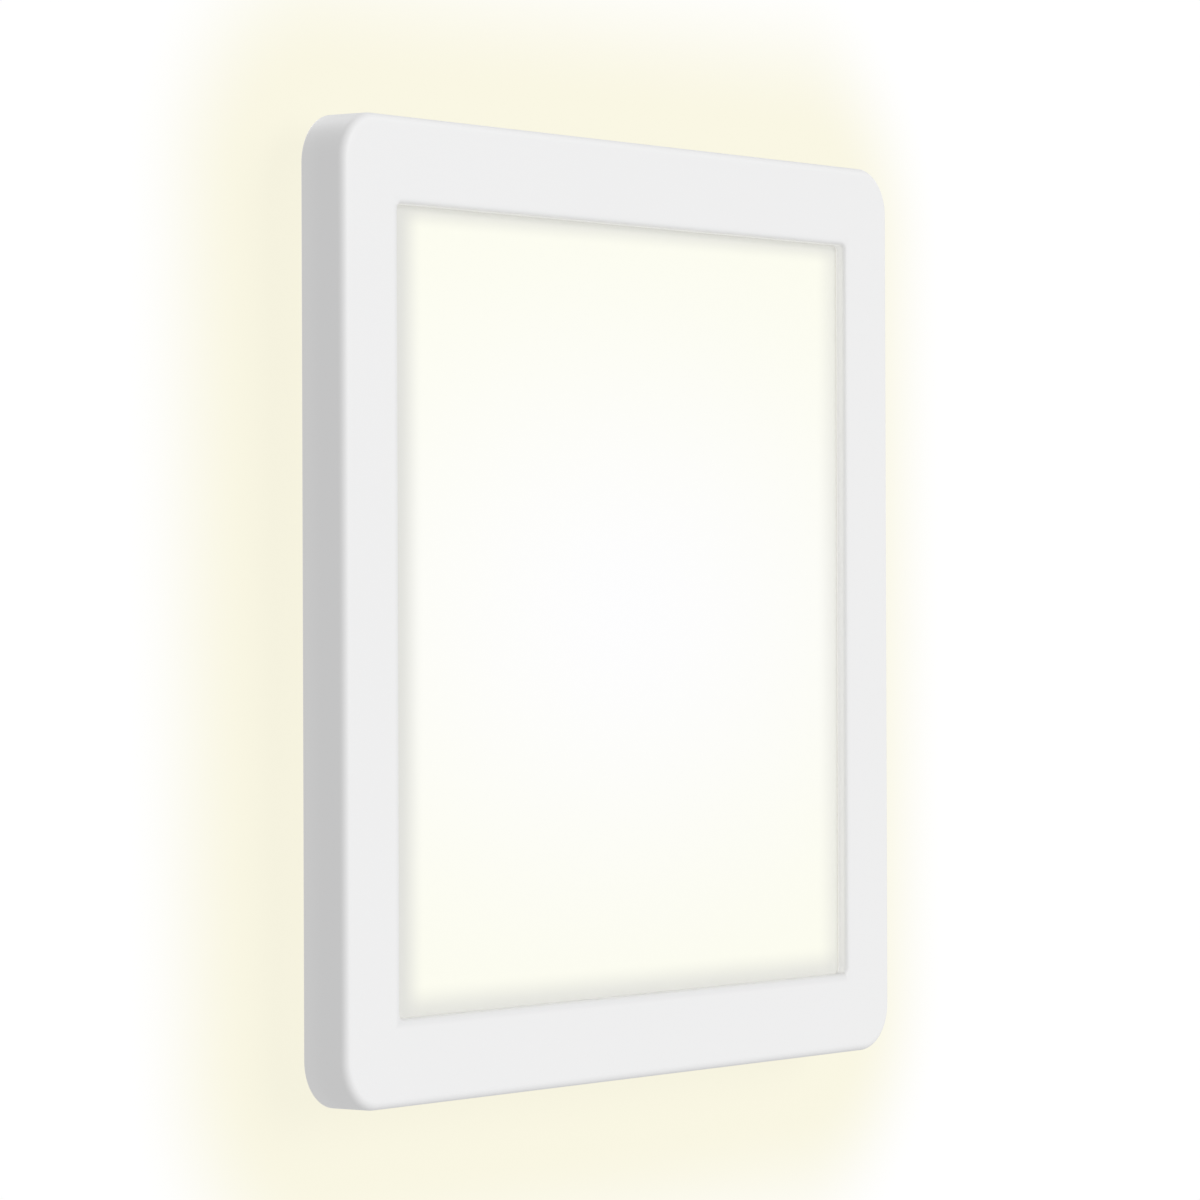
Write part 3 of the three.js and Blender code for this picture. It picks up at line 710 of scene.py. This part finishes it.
def opal_sheet(name):
    """The lit window: white in the middle, slightly creamier outwards, and darker along the edge,
    where the frame shades it. The glow is spread by a fine diffusing texture."""
    finish = Finish(name, (0.84, 0.84, 0.82), 0.45)
    x, _, z = finish.axes()
    half = WINDOW / 2 * MM
    sides = (x + half).fade(0.0035, 0.0165) * (half - x).fade(-0.006, 0.013)
    ends = (z + half).fade(-0.0015, 0.010) * (half - z).fade(-0.001, 0.007)
    edge = sides * ends
    radius = (x * x * 0.36 + z * z) ** 0.5
    cream = radius.fade(0.0, 0.14)
    grain = finish.noise(0.8, 2.0)
    # Along the edge both the base colour and the glow fall off: painted shade from the frame, widest at the
    # left.
    finish.feed("Base Color", finish.blend(edge, (0.73, 0.73, 0.695), (0.84, 0.84, 0.82)))
    middle = finish.blend(cream, (0.69, 0.69, 0.8), (0.64, 0.64, 0.2))
    # A narrow painted glow within 1.6 mm of the lip on the right and top edges fills the shade in the
    # crevice.
    crevice = (half - x.more_of(z)).fade(0.0016, 0.0)
    outermost = finish.blend(crevice, BLACK, (0.55, 0.55, 0.52))
    finish.feed("Emission Color", finish.blend(edge, outermost, middle))
    finish.feed("Emission Strength", 0.2)
    finish.feed("Roughness", 0.4 + grain * 0.1)
    finish.bump(grain, 0.004)
    return finish


def opal_ring(name):
    """The backlight's diffuser: warm light that is strongest over the LED strips, with a faint
    brighter spot over each LED."""
    finish = Finish(name, (0.8, 0.78, 0.7), 0.42)
    x, _, z = finish.axes()
    strip_at, led_pitch = 0.116, 0.018
    over_strip = abs(abs(x).more_of(abs(z)) - strip_at).fade(0.012, 0.002)
    along = abs(x).less_of(abs(z))
    spot = 0.5 - ((along * (FULL_TURN / led_pitch)).wave()) * 0.5
    lit = 0.45 + over_strip * 0.4 + spot * over_strip * 0.15
    grain = finish.noise(0.8, 2.0)
    finish.feed("Emission Color", finish.blend(lit, (0.5, 0.42, 0.28), (1.0, 0.9, 0.68)))
    finish.feed("Emission Strength", 0.5)
    finish.feed("Roughness", 0.38 + grain * 0.1)
    finish.bump(grain, 0.005)
    return finish


def light_guide(name):
    """Clear acrylic with printed white dots that grow from the edges to the middle."""
    finish = Finish(name, (0.93, 0.97, 0.96), 0.08, Transmission_Weight=0.8, IOR=1.49)
    x, _, z = finish.axes()
    reach = 0.32 - abs(x).more_of(abs(z)) * 1.3
    dots = (reach - finish.cells(2.0)).fade(-0.02, 0.02)
    finish.feed("Base Color", finish.blend(dots, (0.9, 0.96, 0.95), (0.97, 0.97, 0.96)))
    finish.feed("Roughness", 0.06 + dots * 0.5)
    return finish


def film(name, colour, roughness, size_mm, depth_mm):
    """Reflective film or foamed board: an even fine cell texture."""
    finish = Finish(name, colour, roughness)
    cell = finish.cells(size_mm)
    cloud = finish.noise(30.0, 1.0)
    finish.feed("Base Color", finish.blend(cloud, darker(colour, 0.04), colour))
    finish.feed("Roughness", cell * 0.15 + (roughness - 0.06))
    finish.bump(cell, depth_mm)
    return finish


finishes = {
    "white_frame": frame_plastic("white_frame"),
    "white_cover": moulded("white_cover", (0.83, 0.83, 0.825), 0.55, 0.6, 0.012, 0.02),
    "opal_window": opal_sheet("opal_window"),
    "opal_ring": opal_ring("opal_ring"),
    "clear_acrylic": light_guide("clear_acrylic"),
    "reflector_film": film("reflector_film", (0.93, 0.93, 0.92), 0.25, 0.3, 0.002),
    "foamed_plastic": film("foamed_plastic", (0.74, 0.75, 0.74), 0.8, 0.7, 0.05),
    "white_steel": painted_steel("white_steel", (0.8, 0.8, 0.79), 0.42),
    "zinc_steel": zinc_plate("zinc_steel"),
    "screw_steel": bright_metal("screw_steel", (0.66, 0.67, 0.69), 0.3),
    "brass": bright_metal("brass", (0.72, 0.5, 0.2), 0.32, (1.0, 0.85, 0.5)),
    "white_board": led_board("white_board"),
    "green_board": circuit_board("green_board", (0.02, 0.14, 0.06)),
    "black_plastic": moulded("black_plastic", (0.028, 0.029, 0.031), 0.5, 0.5, 0.02, 0.03),
    "grey_plastic": moulded("grey_plastic", (0.52, 0.54, 0.55), 0.4, 0.4, 0.01, 0.03),
    "orange_plastic": moulded("orange_plastic", (0.75, 0.2, 0.03), 0.38, 0.4, 0.01, 0.05),
    "grey_rubber": rubber("grey_rubber", (0.27, 0.28, 0.29)),
    "brown_pvc": sleeve("brown_pvc", (0.13, 0.05, 0.02)),
    "blue_pvc": sleeve("blue_pvc", (0.03, 0.13, 0.42)),
    "green_pvc": sleeve("green_pvc", (0.05, 0.3, 0.06), stripe=(0.8, 0.68, 0.04)),
    "red_pvc": sleeve("red_pvc", (0.5, 0.03, 0.02)),
    "dark_pvc": sleeve("dark_pvc", (0.025, 0.025, 0.027)),
    "white_pvc": sleeve("white_pvc", (0.8, 0.8, 0.78)),
}

# ------------------------------------------------------------------ front frame


def outer_rows(points):
    """(half-side, corner radius, out) for points given as (inset from the outside, out)."""
    return [(SIDE / 2 - inset, CORNER_R - inset, out) for inset, out in points]


def window_rows(points):
    """(half-side, corner radius, out) for points given as (distance outside the window, out)."""
    return [(WINDOW / 2 + outset, WINDOW_R + outset, out) for outset, out in points]


def frame_section():
    """The front frame's closed section: back edge, rim, large front round, front face, window edge,
    lip down to the diffuser, and the inside back to the start."""
    s = SMALL_R
    back = arc((FRAME_WALL - s, RIM_BACK + s), s, 0, -90, 4) + arc((s, RIM_BACK + s), s, -90, -180, 4)
    rim = [(0, RIM_BACK + 3 * s), (0, DEPTH - EDGE_R - 0.6)]
    front_round = arc((EDGE_R, DEPTH - EDGE_R), EDGE_R, 180, 90, 10) + [(EDGE_R + 0.5, DEPTH)]
    w = WINDOW_EDGE_R
    window_edge = [(w + 0.5, DEPTH)] + arc((w, DEPTH - w), w, 90, 180, 6)
    lip = [(0, DEPTH - w - 0.3), (0, LIP_BACK + 0.4)] + arc((0.1, LIP_BACK + 0.1), 0.1, 180, 270, 2)
    lip_back = arc((LIP_WALL - 0.2, LIP_BACK + 0.2), 0.2, 270, 360, 2) + [(LIP_WALL, FRONT_INNER)]
    inside = [(FRAME_WALL + 0.6, FRONT_INNER), (FRAME_WALL, FRONT_INNER - 0.6)]
    inside += [(FRAME_WALL, RIM_BACK + 3 * s)]
    outside = outer_rows(back + rim + front_round)
    return outside + window_rows(window_edge + lip + lip_back) + outer_rows(inside)


frame_screws = [(sx * FRAME_SCREW_AT, sy * FRAME_SCREW_AT) for sx, sy in CORNERS]
frame_screws += [(0, FRAME_SCREW_AT), (-FRAME_SCREW_AT, 0), (0, -FRAME_SCREW_AT), (FRAME_SCREW_AT, 0)]


def boss_ribs(at, from_boss=3.2, half_thick=0.8, step=2.0):
    """Ribs that tie a screw boss to the frame's wall: one to each side that the boss is near."""
    wall = SIDE / 2 - FRAME_WALL / 2
    ribs = []
    for axis in (0, 1):
        if at[axis]:
            near = math.copysign(abs(at[axis]) + from_boss, at[axis])
            far = math.copysign(wall, at[axis])
            low = [value - half_thick for value in at]
            high = [value + half_thick for value in at]
            low[axis], high[axis] = sorted((near, far))
            ribs.append(rounded_block((*low, FRAME_BOSS_BACK + step), (*high, RIB_FRONT), 0.2))
    return ribs


def diffuser_ribs(inner=124.8, thick=1.4, along=70.0, half_length=6.0, back=22.5):
    """Two short ribs on each side of the window, which keep the diffuser in its place."""
    ribs = []
    for side in (-1, 1):
        near, far = sorted((side * inner, side * (inner + thick)))
        for middle in (-along, along):
            start, end = middle - half_length, middle + half_length
            ribs.append(rounded_block((near, start, back), (far, end, RIB_FRONT), 0.2))
            ribs.append(rounded_block((start, near, back), (end, far, RIB_FRONT), 0.2))
    return ribs


def front_frame():
    """The frame's section carried round, with its screw bosses and ribs."""
    half, radius, out = zip(*frame_section())
    shells = [rounded_square(half, radius, out, 24)]
    for at in frame_screws:
        shells.append(pipe_ring(at, PILOT_R, 4.0, FRAME_BOSS_BACK, FRONT_INNER + 0.4))
    for at in frame_screws:
        shells += boss_ribs(at)
    return gather(*shells, *diffuser_ribs())


make("front_frame_moulding", front_frame(), "white_frame", ["front_frame"], sharp_degrees=50)

# ------------------------------------------------------------------ back of the fitting


def cover_beads():
    """Raised lines on the rear cover: a flattened half circle carried round a square near its edge, and
    a ring round the opening."""
    base = COVER_BACK + 0.3
    section = arc((BEAD_AT, base), 1.0, 180, 360, 8)
    half = [point[0] for point in section]
    radius = [value - BEAD_AT + 6.0 for value in half]
    out = [base + (point[1] - base) * 0.75 for point in section]
    ring = pipe_ring((0, 0), 71.6, 73.4, COVER_BACK - 0.45, COVER_BACK + 0.2, 144)
    return gather(rounded_square(half, radius, out), ring)


def lever_grips(across):
    """Three low ridges on the free end of a clamp lever, for a fingertip."""
    grips = []
    for up in (2.6, 3.8, 5.0):
        low, high = (across - 1.8, up, 4.95), (across + 1.8, up + 0.5, 5.5)
        grips.append(rounded_block(low, high, 0.15))
    return gather(*grips)


refined("rear_cover", 0.25, extra=cover_beads())
for number, start in enumerate((8, 188), 1):
    mark = curved_arrow(
        ARROW_AT,
        start,
        start + 26,
        half_width=0.8,
        head_share=0.26,
        head_half_width=2.6,
        back=COVER_BACK + 0.2,
        front=COVER_BACK - 0.35,
    )
    make(f"unlock_arrow_{number}", mark, "grey_plastic", [])
refined("halo_diffuser", 0.5, 3)
refined("chassis_pan", 0.2)
refined("wall_plate", 0.18)
refined("terminal_block", 0.25)
refined("driver_tray", 0.3)
refined("driver_lid", 0.2)
for pole, across in (("live", -8), ("neutral", 0), ("earth", 8)):
    refined("clamp_lever_" + pole, 0.2, extra=lever_grips(across))

# A pad's foot as (radius, out): a shallow hollow, a rounded rim, and a step back to the pad.
foot = [(1.2, 0.32), (3.6, 0.14)] + arc((5.3, 0.8), 0.7, -90, 0, 5) + [(6.0, 1.0), (5.9, 1.2), (3.0, 1.2)]
for name, degrees in (("right", 0), ("top", 90), ("left", 180), ("bottom", 270)):
    angle = math.radians(degrees)
    centre = (PAD_AT * math.cos(angle), PAD_AT * math.sin(angle))
    node = "wall_pad_" + name
    make(node + "_foot", turned(foot, centre), "grey_rubber", [node])

# ------------------------------------------------------------------ screws and leads

cover_screws = [(sx * COVER_SCREW_AT, sy * COVER_SCREW_AT) for sx, sy in CORNERS]
cover_screws += [(COVER_SCREW_MID, 0), (-COVER_SCREW_MID, 0)]
# Each row: names, places, how far out the head's back is, the head's height, and the tip.
screw_rows = [
    ("frame_screw_", frame_screws, 12.1, 1.4, 21.5),
    ("cover_screw_", cover_screws, 2.1, 1.8, 11.9),
]
for stem, places, head_back, head_tall, tip in screw_rows:
    for number, at in enumerate(places, 1):
        node = stem + str(number)
        shell = screw(at, head_back, head_tall, tip, cross=True)
        make(node + "_turned", shell, "screw_steel", [node])
earth = screw((28, -24), 10.2, 2.0, 14.4, cross=False, head_radius=3.6, shank_radius=1.9)
make("earth_screw_turned", earth, "brass", ["earth_screw"])


def supply_route(side):
    """The part of the live and the neutral lead that runs from the bay to the driver, one to each
    side of the centre line."""
    return [(side * 4, -40, 11.2), (side * 5, -62, 10), (side * 7, -78, 8.8), (side * 7.4, -82, 9.4)]


lead_routes = {
    "lead_live": [(-8, 5, 10.6), (-8, -4, 10.6), (-7.5, -16, 11)] + supply_route(-1),
    "lead_neutral": [(0, 5, 10.6), (0, -4, 10.6), (5, -16, 11)] + supply_route(1),
    "lead_earth": [
        (8, 5, 10.6),
        (8, -4, 10.6),
        (9.5, -13, 10.1),
        (12, -20, 10.8),
        (16.6, -24, 11.3),
        (20, -24, 11.3),
    ],
}
for name, route in lead_routes.items():
    make(name + "_sleeve", lead_tube(route), slot_of[name], [name])

# ------------------------------------------------------------------ pieces that keep their CAD shape

for node, thing in frame["nodes"].items():
    thing.data.materials.append(finishes[slot_of[node]].material)

# ------------------------------------------------------------------ stage

WALL_OUT = 0.0005
WALL_RADIUS = 3.0
FLOOR_DROP = -0.5
FLOOR_RADIUS = 5.0


def disc(name, centre, radius, normal_axis):
    """A flat stage disc: one face whose corners are radius times the cosine and sine of an angle."""
    sides = 96
    angle = np.linspace(0, FULL_TURN, sides, endpoint=False)
    first, second = radius * np.cos(angle), radius * np.sin(angle)
    level = np.zeros(sides)
    parts = (first, level, second) if normal_axis == "y" else (first, second, level)
    points = np.stack(parts, axis=-1) + np.array(centre)
    mesh = bpy.data.meshes.new(name)
    mesh.from_pydata(points, [], [list(range(sides))])
    made = bpy.data.objects.new(name, mesh)
    bpy.context.scene.collection.objects.link(made)
    return made


def one_sided(finish):
    """Shows a stage surface from its front only, so that the back of the fitting can be seen."""
    clear = finish.node("BsdfTransparent")
    behind = finish.node("NewGeometry", output="Backfacing")
    surface = Wire(finish.tree, finish.shader.outputs[0])
    shown = finish.node("MixShader", {}, {0: behind, 1: surface, 2: clear})
    target = finish.tree.nodes["Material Output"].inputs["Surface"]
    finish.tree.links.new(shown.socket, target)


def lit_wall():
    """A white wall with a painted halo: the backlight's warm light is painted into its colour in a band
    round the fitting.

    The halo depends on the distance from a square inside the fitting's outline: it is full near the
    fitting and fades out smoothly outwards. The square is a little off the centre, as the light is."""
    finish = Finish("wall_with_painted_halo", (0.1, 0.1, 0.1), 1.0, Specular_IOR_Level=0.0)
    x, _, z = finish.axes()
    inner = (SIDE / 2 - 30.0) * MM
    across = (abs(x - 0.007) - (inner + 0.007)).more_of(0.0)
    up = (abs(z + 0.0045) - (inner + 0.0085)).more_of(0.0)
    distance = (across * across + up * up) ** 0.5 - 0.030
    # Painted halo of the backlight's warm light, carried in the wall's colour.
    painted_halo = distance.fade(0.068, 0.010)
    finish.feed("Base Color", finish.blend(painted_halo, (0.1, 0.1, 0.1), (0.094, 0.092, 0.077)))
    finish.feed("Emission Color", finish.blend(painted_halo, WHITE, (0.948, 0.922, 0.768)))
    finish.feed("Emission Strength", 0.905)
    one_sided(finish)
    return finish


def pale_floor():
    """A pale, slightly uneven floor that brightens with distance into the white background."""
    finish = Finish("floor_paint", (0.82, 0.82, 0.81), 0.9)
    finish.feed("Roughness", 0.8 + finish.noise(40.0) * 0.2)
    x, y, _ = finish.axes()
    far = ((x * x + y * y) ** 0.5).fade(0.5, 4.5)
    finish.feed("Emission Color", finish.blend(far, (0.3, 0.3, 0.3), WHITE))
    finish.feed("Emission Strength", 0.4)
    one_sided(finish)
    return finish


wall = disc("wall", (0, WALL_OUT, 0), WALL_RADIUS, "y")
wall.data.materials.append(lit_wall().material)
wall.parent = frame["bodies"]["luminaire"]
wall.visible_shadow = False
wall.visible_diffuse = False
wall.visible_glossy = False
floor = disc("floor", (0, 0, FLOOR_DROP), FLOOR_RADIUS, "z")
floor.data.materials.append(pale_floor().material)
floor.visible_diffuse = False
floor.visible_glossy = False


def surroundings(seen, lighting):
    """A plain white background, and a softer even light from all round."""
    world = bpy.data.worlds.new("studio")
    world.use_nodes = True
    bpy.context.scene.world = world
    tree = world.node_tree
    tree.nodes.clear()
    path = tree.nodes.new("ShaderNodeLightPath")
    mix = tree.nodes.new("ShaderNodeMixShader")
    tree.links.new(path.outputs["Is Camera Ray"], mix.inputs[0])
    for place_in_mix, level in ((1, lighting), (2, seen)):
        light = tree.nodes.new("ShaderNodeBackground")
        light.inputs["Color"].default_value = (*WHITE, 1.0)
        light.inputs["Strength"].default_value = level
        tree.links.new(light.outputs[0], mix.inputs[place_in_mix])
    output = tree.nodes.new("ShaderNodeOutputWorld")
    tree.links.new(mix.outputs[0], output.inputs["Surface"])


def sun(name, towards, strength, angle_degrees):
    """A soft distant light that shines from the direction towards."""
    data = bpy.data.lights.new(name, "SUN")
    data.energy = strength
    data.angle = math.radians(angle_degrees)
    light = bpy.data.objects.new(name, data)
    bpy.context.scene.collection.objects.link(light)
    direction = np.array(towards, float)
    yaw = math.atan2(direction[0], -direction[1])
    pitch = math.atan2(math.hypot(direction[0], direction[1]), direction[2])
    light.rotation_euler = (pitch, 0.0, yaw)


surroundings(seen=1.0, lighting=0.64)
sun("front_light", (0.25, -1.0, 0.3), 1.26, 40)
sun("rear_light", (0.3, 0.8, 0.5), 0.8, 30)
bpy.context.scene.view_settings.view_transform = "Standard"

# ------------------------------------------------------------------ camera

camera_data = bpy.data.cameras.new("camera")
camera_data.lens = 164.28
camera_data.sensor_width = 36.0
camera_data.clip_start = 0.01
camera_data.clip_end = 100.0
camera = bpy.data.objects.new("camera", camera_data)
bpy.context.scene.collection.objects.link(camera)
CAMERA_IN_SIDES = (-4.77209, -3.37808, 0.004078)
camera.location = [SIDE * MM * part for part in CAMERA_IN_SIDES]
camera.location.y -= DEPTH * MM
camera.rotation_euler = [math.radians(part) for part in (90.07, 0.18, -54.33)]
bpy.context.scene.camera = camera
